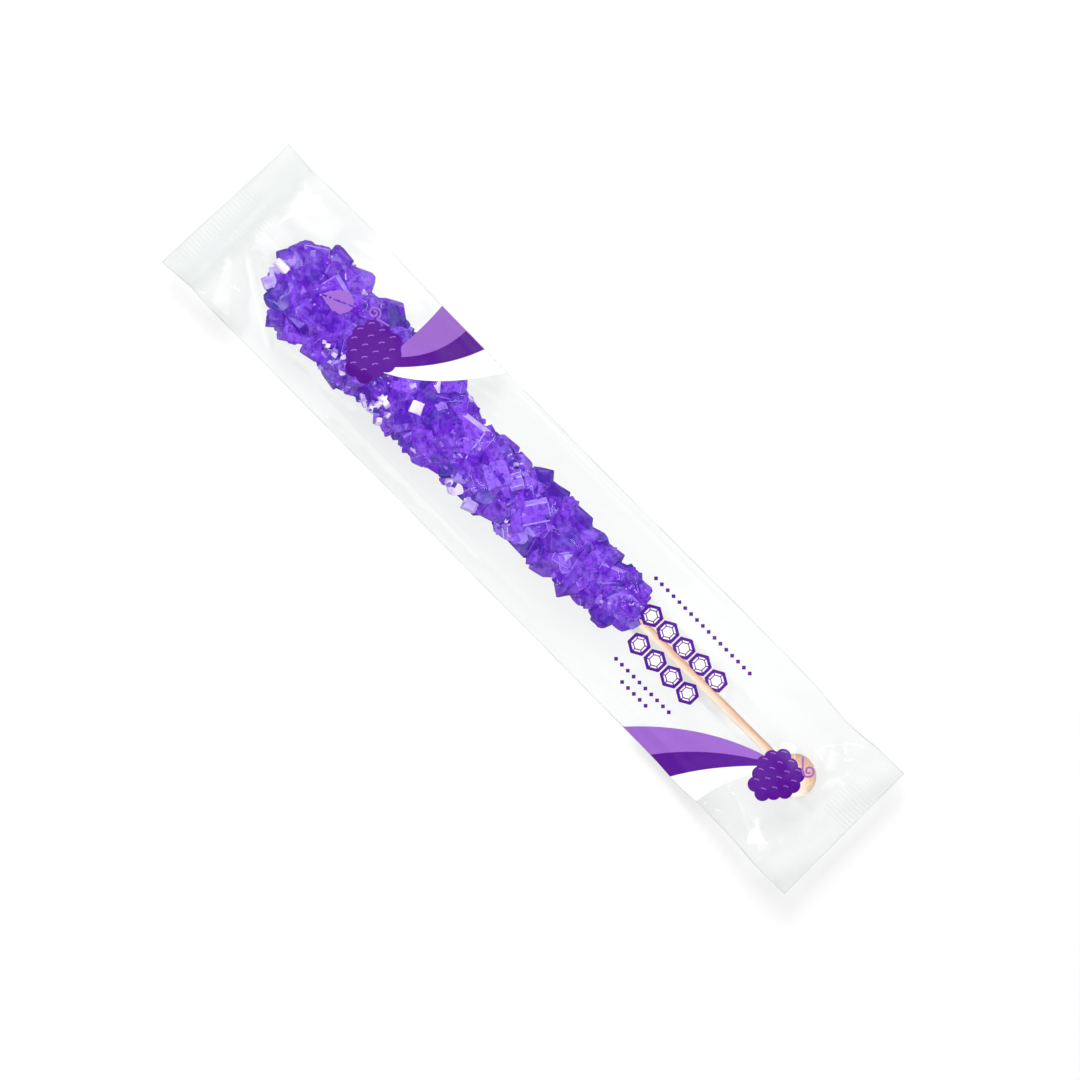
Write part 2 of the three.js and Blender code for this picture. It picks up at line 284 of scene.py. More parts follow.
# How far the ball is moved into the wood's painted light, which lightens its sides.
BALL_PAINTED_LIGHT = 0.15

# ---- the print ----
INK_LIFT = 0.10  # of the first ink above the film
INK_STEP = 0.02  # of each ink above the one it overprints
PRINT_INSET = 0.12  # from the creased sides
# Each fan has three stripes between four curves. A curve is its start at the pouch's side, the
# point that it bends towards and its end.
FANS = [
    [
        ((-50.5, 20.6), (-49.6, 13.2), (-50.1, 6.0)),
        ((-42.3, 20.6), (-41.9, 10.8), (-48.4, 4.0)),
        ((-35.8, 20.6), (-38.7, 10.1), (-48.4, 0.6)),
        ((-27.8, 20.6), (-36.6, 4.9), (-48.6, -1.4)),
    ],
    [
        ((48.6, -20.4), (61.0, -6.1), (77.0, -0.8)),
        ((57.9, -20.4), (65.6, -9.5), (77.2, -2.3)),
        ((65.1, -20.4), (69.4, -12.3), (77.6, -3.8)),
        ((73.5, -20.4), (74.5, -12.5), (78.0, -6.4)),
    ],
]
FAN_INKS = ("lavender_ink", "violet_ink", "white_ink")
FAN_STEPS = (44, 12)  # along and across each stripe
BERRY_ROWS = (3, 4, 4, 3, 2)
BERRY_RADIUS = 2.05
BERRY_PITCH = 2.95
BERRY_DROP = 2.5
BUNCHES = [((-53.8, -0.3), 12, 1.0), ((82.4, -2.7), -8, 0.9)]  # middle, turn, scale
GLINT_TURN = math.radians(100)
GLINT_SWEEP = 0.17  # of a full turn
GLINT_SPAN = (0.72, 0.60)  # of the berry's radius
LEAF_ROOT = (-64.4, 4.4)
LEAF_TURN = math.radians(204)
LEAF_LENGTH = 8.0
LEAF_WIDTH = 5.8
LEAF_TOOTH = 0.16  # of the half width
LEAF_TEETH = 4
LEAF_STEPS = 32
LEAF_RIB = 0.45
CURLS = [((-60.0, 6.9), -20, (-55.4, 7.2)), ((87.0, 4.0), 200, (83.6, 5.4))]  # and its tail
CURL_RADIUS = 1.6
CURL_SHRINK = 0.8  # of its radius is lost on the way in
CURL_WIND = math.radians(540)
CURL_STEPS = 36
CURL_LINE = 0.45
GEM_RADIUS = 2.85
GEM_RIM = 0.85
GEM_LINE = 0.3
GEM_TABLE = 0.50  # of its radius
GEM_PITCH = 5.35
GEM_ROWS = [(5, (46.2, 3.4)), (4, (46.2, -3.4))]  # how many, and the middle of the row
DIAMOND_PITCH = 1.95
DIAMOND_RADIUS = 0.62
DIAMOND_ROWS = [(17, (45.6, 10.2)), (10, (45.6, -9.6)), (5, (45.6, -12.4))]
RING_AROUND = 36
RING_STEP = 0.5  # from one circle of points to the next
PINHOLE = 0.02  # in the middle of a disc

# ---- the picture ----
PHOTO_SIDE = 1080
PHOTO_MIDDLE = (534.5, 517.5)  # pixel of the pouch's middle
MM_PER_PIXEL = 0.2335
AXIS_TURN = math.radians(45.4)  # of the pouch's length, clockwise in the picture
CAMERA_HEIGHT = 2500.0
SENSOR = 36.0
EDGE_HEIGHT = 4.0  # the height whose scale MM_PER_PIXEL gives
FLOOR_REACH = 4000.0  # from the middle
# Each lamp's size, or a sun's spread in degrees, its power, and how far it is to the right of
# the pouch in the picture, above it in the picture and over the table. Lengths here are in
# metres.
LAMPS = {
    "overhead": (50, 3.12, (-0.02, 0.02, 1.0)),
    "key": ((0.5, 0.5), 4.0, (0.0, 0.95, 0.8)),
    "low_lamp": ((0.7, 0.7), 36.0, (0.0, 0.95, 0.85)),
    "ball_fill": ((0.5, 0.5), 7.0, (0.9, -0.5, 0.8)),
    "strip_left": ((0.08, 0.9), 1.8, (-0.9, -0.1, 1.1)),
    "strip_right": ((0.08, 0.7), 1.3, (0.8, 0.25, 1.2)),
    "spark_top": ((0.07, 0.07), 0.9, (-0.25, 0.6, 1.1)),
    "spark_low": ((0.07, 0.07), 0.9, (0.35, -0.5, 1.1)),
}
SKY_COLOUR = (0.985, 0.992, 1.0, 1)
SKY_STRENGTH = 0.14


# ---- small helpers ----

def lerp(a, b, t):
    return a + (b - a) * t


def ease(t):
    t = np.clip(t, 0, 1)
    return t * t * (3 - 2 * t)


def in_scene(name, data):
    """A new object in the scene."""
    made = bpy.data.objects.new(name, data)
    bpy.context.scene.collection.objects.link(made)
    return made


def new_object(name, points, faces, material, smooth=True):
    """A mesh object from points in millimetres, riding on the part."""
    mesh = bpy.data.meshes.new(name)
    mesh.from_pydata([tuple(c * MM for c in p) for p in points], [], faces)
    mesh.validate()
    piece = in_scene(name, mesh)
    mesh.materials.append(material)
    for polygon in mesh.polygons:
        polygon.use_smooth = smooth
    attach(piece, "root")
    return piece


def set_attribute(piece, name, values, domain="POINT"):
    attribute = piece.data.attributes.new(name, "FLOAT", domain)
    attribute.data.foreach_set("value", np.asarray(values, np.float32))


def grid_faces(rows, columns, closed=True, inside_out=False):
    """Four-sided faces through rows of points, closed round each row or open."""
    faces = []
    for i in range(rows - 1):
        for j in range(columns if closed else columns - 1):
            a, b = i * columns + j, i * columns + (j + 1) % columns
            quad = (a, b, b + columns, a + columns)
            faces.append((a, *quad[:0:-1]) if inside_out else quad)
    return faces


def end_faces(rows, columns, inside_out=False):
    """The two faces that close the ends of such rows."""
    ends = [tuple(range(columns))[::-1], tuple(range((rows - 1) * columns, rows * columns))]
    return [end[::-1] for end in ends] if inside_out else ends


def tree_of(mesh):
    """A mesh's faces, in millimetres, for rays to meet."""
    points = [v.co / MM for v in mesh.vertices]
    return BVHTree.FromPolygons(points, [p.vertices for p in mesh.polygons])


def met(tree, x, y, up=1):
    """Where a ray from above (up 1) or from below (up -1) meets a surface, or None."""
    return tree.ray_cast(Vector((x, y, 100 * up)), Vector((0, 0, -up)))[0]


def by_line(x, y, start, end):
    """How far along a line points are, as a share of it, and how far off it."""
    (ax, ay), (bx, by) = start, end
    span = math.hypot(bx - ax, by - ay)
    along = ((x - ax) * (bx - ax) + (y - ay) * (by - ay)) / span**2
    return along, ((x - ax) * (by - ay) - (y - ay) * (bx - ax)) / span


# ---- materials ----

class Shader:
    """A node material, with short calls to add and join nodes."""

    def __init__(self, name):
        self.material = bpy.data.materials.new(name)
        self.material.use_nodes = True
        self.tree = self.material.node_tree
        self.tree.nodes.clear()
        self.output = self.add("OutputMaterial")

    def feed(self, socket, value):
        """Sets a socket to a number or a colour, or joins another node's output to it."""
        if isinstance(value, bpy.types.NodeSocket):
            self.tree.links.new(value, socket)
        elif socket.type == "RGBA":
            socket.default_value = (*value, 1)
        else:
            socket.default_value = value

    def add(self, kind, settings=(), **inputs):
        """A node with its settings, and its inputs by name."""
        node = self.tree.nodes.new("ShaderNode" + kind)
        for key, value in dict(settings).items():
            setattr(node, key, value)
        for key, value in inputs.items():
            self.feed(node.inputs[key.replace("_", " ")], value)
        return node

    def surface(self, kind, **inputs):
        return self.add("Bsdf" + kind, **inputs).outputs[0]

    def place(self, scale):
        """Object coordinates, stretched by a scale for each axis."""
        coordinates = self.add("TexCoord").outputs["Object"]
        return self.add("Mapping", Vector=coordinates, Scale=scale).outputs["Vector"]

    def noise(self, scale, detail=3.0, stretch=(1, 1, 1), roughness=0.55):
        where = self.place(stretch)
        look = {"Scale": scale, "Detail": detail, "Roughness": roughness}
        return self.add("TexNoise", Vector=where, **look).outputs["Fac"]

    def cells(self, scale):
        """The distance from the nearest of scattered points."""
        where = self.place((1, 1, 1))
        return self.add("TexVoronoi", Vector=where, Scale=scale).outputs["Distance"]

    def attribute(self, name):
        return self.add("Attribute", {"attribute_name": name}).outputs["Fac"]

    def facing(self, **normal):
        """How far the surface turns away from the view."""
        return self.add("LayerWeight", Blend=0.5, **normal).outputs["Facing"]

    def ramp(self, value, stops):
        node = self.add("ValToRGB", Fac=value)
        elements = node.color_ramp.elements
        while len(elements) < len(stops):
            elements.new(0.5)
        for element, (position, colour) in zip(elements, stops):
            element.position = position
            element.color = (*colour, 1)
        return node.outputs["Color"]

    def spread(self, value, low, high, to_low, to_high):
        """A value mapped from one range to another, and kept inside it."""
        ranges = {"From_Min": low, "From_Max": high, "To_Min": to_low, "To_Max": to_high}
        return self.add("MapRange", Value=value, **ranges).outputs["Result"]

    def sums(self, operation, a, b):
        node = self.add("Math", {"operation": operation, "use_clamp": True})
        self.feed(node.inputs[0], a)
        self.feed(node.inputs[1], b)
        return node.outputs["Value"]

    def times(self, a, b):
        return self.sums("MULTIPLY", a, b)

    def blend(self, share, a, b):
        """Two colours mixed."""
        node = self.add("Mix", {"data_type": "RGBA"})
        for index, value in ((0, share), (6, a), (7, b)):
            self.feed(node.inputs[index], value)
        return node.outputs[2]

    def bump(self, height, strength, distance):
        look = {"Strength": strength, "Distance": distance * MM}
        return self.add("Bump", Height=height, **look).outputs["Normal"]

    def mix(self, share, first, second):
        """Two shaders mixed."""
        node = self.add("MixShader")
        for socket, value in zip(node.inputs, (share, first, second)):
            self.feed(socket, value)
        return node.outputs[0]

    def finish(self, shader, passed=None):
        """The material, and the colour in which the lamps' light passes it, if it does."""
        if passed is not None:
            lamps = self.add("LightPath").outputs["Is Shadow Ray"]
            shader = self.mix(lamps, shader, self.surface("Transparent", Color=passed))
        self.feed(self.output.inputs["Surface"], shader)
        return self.material


def film_material():
    """Clear film: see-through, glossy, greyer where it slopes, is gathered or is sealed; its grey
    also holds painted shade and painted glare.
    """
    s = Shader("clear_film")
    relief = s.bump(s.noise(70, detail=2, stretch=(0.5, 1, 1)), 0.12, 0.2)
    facing = s.facing(Normal=relief)
    seal = s.attribute("seal")
    colour = s.blend(s.noise(40, detail=2), (0.983, 0.988, 0.987), (0.991, 0.994, 0.993))
    # The gathered grey, which also carries painted shade beside the candy and between the ribs.
    colour = s.blend(s.attribute("gathered"), colour, (0.905, 0.918, 0.915))
    colour = s.blend(s.spread(facing, 0.0, 0.6, 0.0, 0.6), colour, (0.94, 0.952, 0.952))
    colour = s.blend(s.attribute("edge"), colour, (0.80, 0.82, 0.82))
    # Painted glare: the film nearly clear in its patches; the fin is kept clear too.
    colour = s.blend(s.attribute("clear_and_glare"), colour, (0.998, 0.999, 0.999))
    clear = s.surface("Transparent", Color=colour)
    gloss = s.surface("Anisotropic", Color=(1, 1, 1), Roughness=0.12, Normal=relief)
    milky = s.surface("Diffuse", Color=(0.68, 0.70, 0.70), Normal=relief)
    off_fin = s.spread(s.attribute("fin"), 0.0, 1.0, 1.0, 0.1)
    shine = s.times(s.spread(facing, 0.01, 0.5, 0.012, 0.12), off_fin)
    shine = s.times(shine, s.spread(seal, 0.0, 1.0, 1.0, 0.5))
    haze = s.sums("ADD", s.times(seal, 0.06), 0.001)
    seen = s.mix(shine, s.mix(haze, clear, milky), gloss)
    aslant = s.times(s.spread(facing, 0.15, 0.30, 0.0, 1.0), s.attribute("steep"))
    return s.finish(seen, s.blend(aslant, (1.0, 1.0, 1.0), (0.35, 0.35, 0.35)))


def ink_material(name, colour, darker):
    """Ink on film: nearly even, with a faint mottle, glossy; some light passes through."""
    s = Shader(name)
    mottle = s.blend(s.noise(900, detail=4), darker, colour)
    rough = s.spread(s.noise(1500), 0.3, 0.7, 0.32, 0.45)
    ink = s.surface("Principled", Base_Color=mottle, Roughness=rough, IOR=1.4)
    return s.finish(ink, (0.75, 0.75, 0.75))


def candy_material(name, dark, light, bright):
    """Violet sugar: translucent, each crystal in a tone of its own, clouded and flecked; the tones
    nearest white are painted glints.
    """
    s = Shader(name)
    tone = s.attribute("tone")
    body = s.ramp(
        tone,
        [
            (0.00, (0.045, 0.034, 0.300)),
            (0.14, (0.062, 0.006, 0.375)),
            (0.45, (0.152, 0.019, 0.580)),
            (0.80, (0.238, 0.074, 0.725)),
            (0.90, (0.385, 0.268, 0.825)),
            # Near white: the lightest crystals, and the painted glints.
            (1.00, (0.930, 0.850, 0.970)),
        ],
    )
    cloud = s.spread(s.noise(300, detail=4), 0.42, 0.70, 0.0, 0.65)
    body = s.blend(cloud, body, light)
    vein = s.spread(s.noise(900, detail=6, roughness=0.75), 0.48, 0.62, 0.0, 0.80)
    clean = s.spread(tone, 0.84, 0.94, 1.0, 0.15)
    body = s.blend(s.times(vein, clean), body, dark)
    fleck = s.spread(s.cells(800), 0.10, 0.26, 0.7, 0.0)
    patch = s.spread(s.noise(120, detail=2), 0.56, 0.64, 0.0, 1.0)
    body = s.blend(s.times(fleck, patch), body, bright)
    relief = s.bump(s.noise(900, detail=4), 0.25, 0.20)
    sugar = s.surface(
        "Principled",
        Base_Color=body,
        Roughness=s.spread(s.noise(500), 0.3, 0.7, 0.04, 0.14),
        IOR=1.54,
        Specular_IOR_Level=0.3,
        Transmission_Weight=0.15,
        Normal=relief,
    )
    matt = s.surface("Diffuse", Color=body, Normal=relief)
    sugar = s.mix(s.spread(s.facing(), 0.40, 0.70, 0.0, 0.9), sugar, matt)
    passed = s.blend(0.97, body, (0.95, 0.945, 0.955))
    scattered = s.add("LightPath").outputs["Is Diffuse Ray"]
    sugar = s.mix(scattered, sugar, s.surface("Transparent", Color=passed))
    return s.finish(sugar, passed)


def wood_material():
    """Pale wood, its grain along X, with painted shade along its +Y side and painted light along
    its -Y side.
    """
    s = Shader("stick_wood")
    grain = s.noise(1600, detail=6, stretch=(0.05, 1, 1), roughness=0.65)
    colour = s.ramp(
        grain,
        [
            (0.30, (0.600, 0.350, 0.228)),
            (0.48, (0.715, 0.500, 0.372)),
            (0.62, (0.750, 0.580, 0.450)),
            (0.80, (0.780, 0.650, 0.540)),
        ],
    )
    broad = s.spread(s.noise(240, detail=2, stretch=(0.12, 1, 1)), 0.35, 0.70, 0.0, 0.35)
    colour = s.blend(broad, colour, (0.60, 0.37, 0.24))
    # Painted shade: dark brown towards the +Y side. Painted light: near cream towards the -Y side.
    side = s.attribute("side")
    colour = s.blend(s.spread(side, 0.0, 0.75, 0.0, 0.65), colour, (0.50, 0.25, 0.12))
    colour = s.blend(s.spread(side, -0.1, -0.9, 0.0, 0.95), colour, (0.98, 0.88, 0.76))
    relief = s.bump(grain, 0.25, 0.1)
    wood = s.surface("Principled", Base_Color=colour, Roughness=0.5, Normal=relief)
    return s.finish(wood, (0.97, 0.966, 0.962))


def floor_material():
    """A plain pale table that gives off a little light itself."""
    s = Shader("pale_floor")
    colour = s.blend(s.noise(6, detail=2), (0.160, 0.160, 0.160), (0.168, 0.168, 0.168))
    table = s.surface(
        "Principled",
        Base_Color=colour,
        Roughness=0.9,
        Specular_IOR_Level=0.0,
        Emission_Color=(1, 1, 1),
        Emission_Strength=0.584,
    )
    return s.finish(table)


# ---- reading the CAD pouch's form ----

cad_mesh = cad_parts[NODE].data
cad_tree = tree_of(cad_mesh)
low, high = (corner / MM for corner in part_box(NODE))


def side_lines():
    """The pouch's two sides: the x of each slice, and its lowest and highest y there."""
    points = np.array([v.co / MM for v in cad_mesh.vertices])
    rows = []
    for start in np.arange(low.x, high.x, SLICE):
        inside = points[(points[:, 0] >= start) & (points[:, 0] <= start + SLICE)]
        if len(inside):
            rows.append((inside[:, 0].mean(), inside[:, 1].min(), inside[:, 1].max()))
    return np.array(rows).T


SIDES = side_lines()


def side_y(x):
    """The y of the right and the left side at x."""
    return np.interp(x, SIDES[0], SIDES[1]), np.interp(x, SIDES[0], SIDES[2])


def cad_height(x, y, up):
    """The height of the solid's top (up 1) or back (up -1) over a point."""
    right, left = side_y(x)
    x = max(x, low.x + CUT_SLANT["tip"] + SAMPLE_INSET)
    x = min(x, high.x - CUT_SLANT["ball"] - SAMPLE_INSET)
    y = min(max(y, right + SAMPLE_INSET), left - SAMPLE_INSET)
    for inset in SAMPLE_STEPS:
        hit = met(cad_tree, x, y - math.copysign(inset, y), up)
        if hit is not None:
            return hit.z
    return 0.0


# ---- the film's own surface ----

def film_stations():
    crimp = np.linspace(CRIMP_START + RIB_FADE, high.x - EDGE_LINE, CRIMP_STATIONS)
    crimp = np.append(crimp, high.x)
    tube = np.linspace(-CRIMP_START, CRIMP_START, TUBE_STATIONS)
    return np.concatenate([-crimp[::-1], tube, crimp])


def relaxed(heights):
    """Heights with the facets of the solid smoothed out, and the border kept."""
    z = heights.copy()
    for _ in range(SMOOTH_ACROSS):
        z[:, 1:-1] = (z[:, :-2] + 2 * z[:, 1:-1] + z[:, 2:]) / 4
    for _ in range(SMOOTH_ALONG):
        z[1:-1, 1:-1] = (z[:-2, 1:-1] + 2 * z[1:-1, 1:-1] + z[2:, 1:-1]) / 4
    return z


def fold_heights(x, y):
    total = np.zeros_like(x)
    for start, end, height, width in FOLDS:
        along, across = by_line(x, y, start, end)
        fade = np.sin(math.pi * np.clip(along, 0, 1)) ** 0.6
        total += height * fade * np.exp(-((across / width) ** 2))
    return total


def ripple_heights(x, y):
    draw = random.Random(RIPPLE_SEED)
    total = np.zeros_like(x)
    for _ in range(RIPPLES):
        turn, phase = draw.uniform(0, math.pi), draw.uniform(0, 2 * math.pi)
        length = draw.uniform(*RIPPLE_LENGTHS)
        wave = (x * math.cos(turn) + y * math.sin(turn)) * 2 * math.pi / length
        total += RIPPLE_HEIGHT * np.sin(wave + phase)
    return total


def clear_of_ball(x, y, top, back):
    """The film pushed out where the ball would come through it."""
    centre = stick_centre(BALL_X)
    off = np.hypot(x - BALL_X, y - centre.y) / BALL_RADIUS
    bulge = BALL_RADIUS * np.sqrt(np.clip(1 - off**2, 0, 1)) + FILM_GAP
    over = np.where(off < 1, np.maximum(top, BALL_HEIGHT + bulge), top)
    under = np.where(off < 1, np.minimum(back, np.maximum(BALL_HEIGHT - bulge, low.z)), back)
    return over, under


def rib_valley(y):
    """How far down from a rib's top towards the valley between two y is, from 0 to 1."""
    return 0.5 - 0.5 * np.cos(2 * math.pi * y / RIB_PITCH)


def sealed_share(x):
    """How far the film is in a crimp, from 0 to 1."""
    return ease((np.abs(x) - CRIMP_START) / RIB_FADE)


def rib_heights(x, y):
    return sealed_share(x) * RIB_DEPTH / 2 * np.cos(2 * math.pi * y / RIB_PITCH)


def film_surface():
    """The film's points: x and y of each grid point, and the heights of top and back."""
    stations = film_stations()
    shares = np.linspace(0, 1, FILM_COLUMNS + 1)
    right, left = side_y(stations)
    y = lerp(right[:, None], left[:, None], shares[None, :])
    out = np.clip((np.abs(stations) - CRIMP_START) / (high.x - CRIMP_START), 0, 1)
    slant = np.where(stations < 0, CUT_SLANT["tip"], -CUT_SLANT["ball"]) * out
    x = stations[:, None] + slant[:, None] * ease(shares)[None, :]
    top, back = np.zeros_like(x), np.zeros_like(x)
    for at in np.ndindex(x.shape):
        top[at] = cad_height(x[at], y[at], 1)
        beside = y[at] if abs(y[at]) > -FIN_CLEAR_Y else FIN_CLEAR_Y
        back[at] = cad_height(x[at], beside, -1)
    top, back = relaxed(top), relaxed(back)
    for ends in (0, -1):
        middle = (top[:, ends] + back[:, ends]) / 2
        top[:, ends] = back[:, ends] = middle
    inwards = np.minimum(y - right[:, None], left[:, None] - y)
    fade = ease(inwards / SIDE_FADE)
    open_film = 1 - ease((np.abs(x) - CRIMP_START + WRINKLES_STOP) / WRINKLES_FADE)
    top = top + fade * open_film * (fold_heights(x, y) + ripple_heights(x, y))
    top, back = clear_of_ball(x, y, np.maximum(top, back + FILM_LEAST * fade), back)
    ribs = rib_heights(x, y)
    return x, y, top + ribs, back + ribs


def across_share(y, start, stop):
    """1 between two sides and 0 beyond them, with soft borders."""
    return ease((y - start) / RIBS_SIDE) * ease((stop - y) / RIBS_SIDE)


def valley_shade(x, y):
    """How much painted shade lies in the valley between two ribs: it shows clearly in places."""
    clear = RIBS_ELSEWHERE
    for end, sign in (("tip", -1), ("ball", 1)):
        beyond = ease((sign * x - SHADED_RIBS[end]["from"]) / RIBS_GROW)
        pressed = beyond * across_share(y, *SHADED_RIBS[end]["across"])
        clear = clear + (1 - RIBS_ELSEWHERE) * pressed
    return sealed_share(x) * clear * rib_valley(y)


def glare_share(x, y):
    """How much painted glare lies on the film, broken up where the tip's ribs run on."""
    share = np.zeros_like(x)
    for start, end, widths in GLARE_PATCHES:
        along, across = by_line(x, y, start, end)
        width = lerp(*widths, np.clip(along, 0, 1))
        ends = ease(along / GLARE_FADE) * ease((1 - along) / GLARE_FADE)
        share = np.maximum(share, ends * ease(GLARE_REACH - np.abs(across) / width))
    outer, inner = RUN_ON["from"]
    ribs = ease((-x - inner) / (outer - inner)) * across_share(y, *RUN_ON["across"])
    return GLARE_MOST * share * (1 - RUN_ON["share"] * ribs * rib_valley(y))


def gathered_and_shade(x, y):
    """How far the film is gathered, which makes it greyer, with painted shade beside the candy and
    less grey under the painted glare.
    """
    profiles = [np.interp(np.abs(x), *zip(*GATHERED[end])) for end in ("tip", "ball")]
    gathered = np.where(x < 0, *profiles)
    off = [(v - m) / w for v, m, w in zip((x, y), SHADE_BESIDE_CANDY["middle"], SHADE_BESIDE_CANDY["spread"])]
    shade_beside = SHADE_BESIDE_CANDY["share"] * np.exp(-(off[0] ** 2) - off[1] ** 2)
    return np.maximum(gathered, shade_beside) * (1 - GLARE_LOSS * glare_share(x, y))


def edge_strength(x, y):
    """How much of the grey line along the edges shows: it comes and goes."""
    wave = np.sin(x * 0.21 + 1.0) * np.sin(x * 0.083 + 0.4) + 0.6 * np.sin(x * 0.57 + y * 0.35)
    return 0.55 + 0.4 * np.clip(wave, -1, 1)


def steep_share(x, y):
    """How far the film is steep enough to give a shadow."""
    outwards = {"ball": x, "tip": -x, "side": -y, "cut": x}
    steep = {key: ease((outwards[key] - start) / over) for key, (start, over) in STEEP.items()}
    ends = np.where(x > 0, steep["ball"], steep["tip"])
    return np.maximum(ends * steep["side"], steep["cut"])


def wrapped(over, under):
    """Values for the tube's points, ring by ring: over the top and back under it."""
    return np.concatenate([over, under[:, -2:0:-1]], axis=1).ravel()


def film_shell(grid, material):
    """One closed surface: over the top, round the sides and back under."""
    x, y, top, back = grid
    rows, columns = x.shape
    ring = 2 * (columns - 1)
    points = zip(wrapped(x, x), wrapped(y, y), wrapped(top, back))
    faces = grid_faces(rows, ring, inside_out=True)
    for start in (0, (rows - 1) * ring):
        for j in range(columns - 1):
            quad = (j, j + 1, ring - j - 1, (ring - j) % ring)
            face = tuple(start + k for k in dict.fromkeys(quad))
            faces.append(face[::-1] if start else face)
    piece = new_object("film_tube", points, faces, material)
    inwards = np.minimum(y - y[:, :1], y[:, -1:] - y)
    from_cut = np.minimum(x - x[:1], x[-1:] - x)
    edge = np.clip(1 - np.minimum(inwards, from_cut) / EDGE_LINE, 0, 1) * edge_strength(x, y)
    shares = {
        "edge": edge,
        "seal": sealed_share(x),
        # Grey from the gathers, with painted shade beside the candy and between the crimps' ribs.
        "gathered": gathered_and_shade(x, y) + VALLEY_SHADE * valley_shade(x, y),
        "clear_and_glare": glare_share(x, y),
        "steep": steep_share(x, y),
        "fin": np.zeros_like(x),
    }
    for name, values in shares.items():
        set_attribute(piece, name, wrapped(values, values))
    piece.data.set_sharp_from_angle(angle=FILM_SHARP)
    return piece


def fin_strip(material):
    """The back seam, folded flat: a thin closed strip under the tube."""
    half = CRIMP_START + FIN_OVERLAP
    points = []
    for x in np.linspace(-half, half, FIN_STATIONS):
        floor = cad_height(x, (FIN_ROOT + FIN_TIP) / 2, -1)
        ys = [lerp(FIN_ROOT, FIN_TIP, j / FIN_COLUMNS) for j in range(FIN_COLUMNS + 1)]
        for j, y in enumerate(ys):
            wave = FIN_WAVE * math.sin(x * FIN_WAVE_PACE + j) if j < FIN_COLUMNS else 0
            points.append((x, y, floor + FIN_TOP + wave))
        points += [(x, y, floor + FIN_BACK) for y in ys[::-1]]
    ring = 2 * (FIN_COLUMNS + 1)
    faces = grid_faces(FIN_STATIONS, ring, inside_out=True)
    faces += end_faces(FIN_STATIONS, ring, inside_out=True)
    piece = new_object("film_fin", points, faces, material)
    for name in ("edge", "seal", "gathered", "clear_and_glare", "steep", "fin"):
        set_attribute(piece, name, [float(name in ("clear_and_glare", "fin"))] * len(points))
    piece.data.set_sharp_from_angle(angle=FILM_SHARP)
    return piece


# ---- the candy ----

def stick_centre(x):
    height = AXIS_HEIGHT_AT_WIDEST + STICK_PITCH * (x - WIDEST_X)
    return Vector((x, STICK_Y + STICK_SLOPE * x, height))


def humps(specs, x):
    return sum(by * math.exp(-(((x - at) / over) ** 2)) for at, by, over in specs)


def candy_centre(x):
    centre = stick_centre(x)
    centre.y += humps(CANDY_BENDS, x)
    return centre


def candy_reach(x):
    """Half the candy's width at x."""
    along = (x - CANDY_TIP) / CANDY_LENGTH
    if along <= 0 or along >= 1:
        return 0.0
    straight = lerp(CANDY_TIP_WIDTH, CANDY_END_WIDTH, along**CANDY_TAPER) / 2
    straight += humps(CANDY_SWELLS, x)
    rounded = max(0.0, 1 - along / TIP_ROUND, 1 - (1 - along) / END_ROUND)
    return straight * math.sqrt(1 - rounded**2)


def candy_point(x, angle, reach):
    """A point round the candy's axis, at a reach across and flattened in height."""
    out = Vector((0, reach * math.cos(angle), reach * CANDY_FLATNESS * math.sin(angle)))
    return candy_centre(x) + out


def candy_skin(share, angle):
    """A point on the candy's outline and the way out of it there."""
    def at(u, a):
        x = CANDY_TIP + CANDY_LENGTH * u
        return candy_point(x, a, candy_reach(x))

    step = 0.004
    share = min(max(share, 2 * step), 1 - 2 * step)
    along = at(share + step, angle) - at(share - step, angle)
    around = at(share, angle + step) - at(share, angle - step)
    return at(share, angle), around.cross(along).normalized()


def crystal_form(draw):
    """A sugar crystal: a leaning block with edges and corners cut off, its rims bevelled."""
    block = bmesh.new()
    bmesh.ops.create_cube(block, size=1)
    half = Vector((0.5, draw.uniform(*CRYSTAL_WIDTH), draw.uniform(*CRYSTAL_HEIGHT)))
    for vertex in block.verts:
        vertex.co = Vector(2 * half[k] * vertex.co[k] for k in range(3))
        vertex.co.x += CRYSTAL_LEAN * vertex.co.z
    edges = [(1, 0, 1), (1, 0, -1), (0, 1, 1), (0, 1, -1), (1, 1, 0), (1, -1, 0)]
    corners = [(1, 1, 1), (1, 1, -1)]
    for cut in draw.sample(edges + corners, CRYSTAL_CUTS):
        for sign in (1, -1):
            if draw.random() < CUT_SKIPPED:
                continue
            normal = Vector(sign * cut[k] / half[k] for k in range(3)).normalized()
            reach = max(v.co.dot(normal) for v in block.verts)
            bmesh.ops.bisect_plane(
                block,
                geom=block.verts[:] + block.edges[:] + block.faces[:],
                plane_co=normal * reach * draw.uniform(*CUT_REACH),
                plane_no=normal,
                clear_outer=True,
            )
            bmesh.ops.holes_fill(block, edges=block.edges[:], sides=0)
    bmesh.ops.remove_doubles(block, verts=block.verts[:], dist=0.01)
    rim = {"offset": CRYSTAL_RIM, "segments": 1, "affect": "EDGES", "clamp_overlap": True}
    bmesh.ops.bevel(block, geom=block.edges[:], **rim)
    bmesh.ops.recalc_face_normals(block, faces=block.faces[:])
    block.verts.index_update()
    points = np.array([v.co[:] for v in block.verts])
    faces = [[v.index for v in f.verts] for f in block.faces]
    block.free()
    return points, faces


